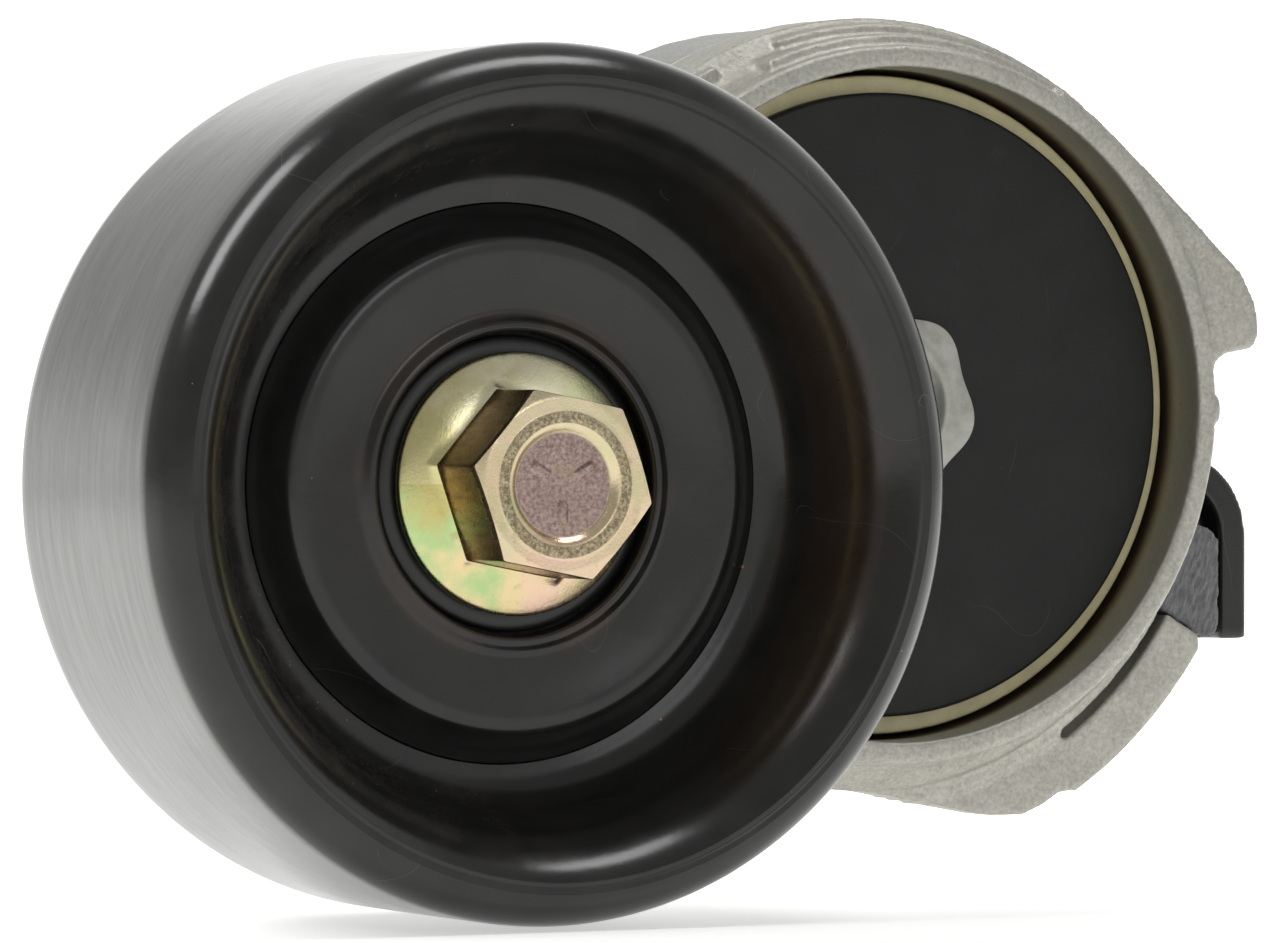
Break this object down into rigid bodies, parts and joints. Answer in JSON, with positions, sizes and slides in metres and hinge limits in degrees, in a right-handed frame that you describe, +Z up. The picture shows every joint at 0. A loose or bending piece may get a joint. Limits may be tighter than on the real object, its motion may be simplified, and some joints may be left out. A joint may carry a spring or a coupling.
{
  "type": "belt tensioner idler",
  "caption": "Automatic belt tensioner: smooth steel idler pulley on a sprung cast arm that pivots on a round spring case with a side stop lug.",
  "frame": {"origin": "on the arm's pivot axis, in the plane of the base's back face that bolts to the engine", "axes": "+X to the right seen from the pulley side, +Y along the pivot axis from the pulley side into the engine, +Z up"},
  "size_m": [0.1336, 0.0787, 0.0809],
  "materials": {
    "pulley_paint": "satin black paint over pressed steel",
    "black_paint": "satin black coat",
    "cast_aluminium": "bare grainy casting",
    "case_aluminium": "bare grey casting",
    "swaged_aluminium": "smooth swaged",
    "yellow_zinc": "iridescent yellow zinc plate",
    "plain_steel": "turned",
    "bearing_steel": "ground",
    "spring_steel": "oil-blackened",
    "cream_nylon": "moulded, aged cream",
    "cage_nylon": "moulded",
    "seal_rubber": "matte",
    "stop_rubber": "rough, striated"
  },
  "bodies": {
    "base": {"mounting_bracket": "black_paint", "stop_block": "stop_rubber", "spring_case": "case_aluminium", "bracket_rivet_1": "plain_steel", "bracket_rivet_2": "plain_steel", "bracket_rivet_3": "plain_steel", "locating_pin": "plain_steel", "torsion_spring": "spring_steel", "pivot_pin": "swaged_aluminium", "cap_plate": "black_paint", "damping_ring": "cream_nylon", "case_bushing": "cream_nylon"},
    "arm": {"arm_casting": "cast_aluminium", "pivot_bushing": "cream_nylon", "pulley_bolt": "yellow_zinc", "front_dust_shield": "black_paint", "rear_spacer": "plain_steel", "bearing_spacer": "plain_steel", "bearing_inner_race": "bearing_steel"},
    "pulley": {"pulley_rim": "pulley_paint", "pulley_hub": "pulley_paint", "bearing_outer_race": "bearing_steel", "bearing_front_seal": "seal_rubber", "bearing_rear_seal": "seal_rubber"},
    "cage": {"bearing_cage": "cage_nylon", "bearing_ball_1": "bearing_steel", "bearing_ball_2": "bearing_steel", "bearing_ball_3": "bearing_steel", "bearing_ball_4": "bearing_steel", "bearing_ball_5": "bearing_steel", "bearing_ball_6": "bearing_steel", "bearing_ball_7": "bearing_steel", "bearing_ball_8": "bearing_steel"}
  },
  "joints": [
    {"name": "arm_pivot", "type": "hinge", "parent": "base", "child": "arm", "pos_m": [0, 0, 0], "axis": [0, 1, 0], "range_deg": [0, 25], "stiffness_Nm_per_rad": 20, "springref_deg": -57.3, "deforming": ["torsion_spring"]},
    {"name": "pulley_spin", "type": "hinge", "parent": "arm", "child": "pulley", "pos_m": [-0.0515, -0.055, -0.0068], "axis": [0, 1, 0], "continuous": true},
    {"name": "cage_spin", "type": "hinge", "parent": "arm", "child": "cage", "pos_m": [-0.0515, -0.055, -0.0068], "axis": [0, 1, 0], "continuous": true}
  ],
  "couplings": [
    {"joint": "cage_spin", "follows": "pulley_spin", "ratio": 0.6183}
  ]
}
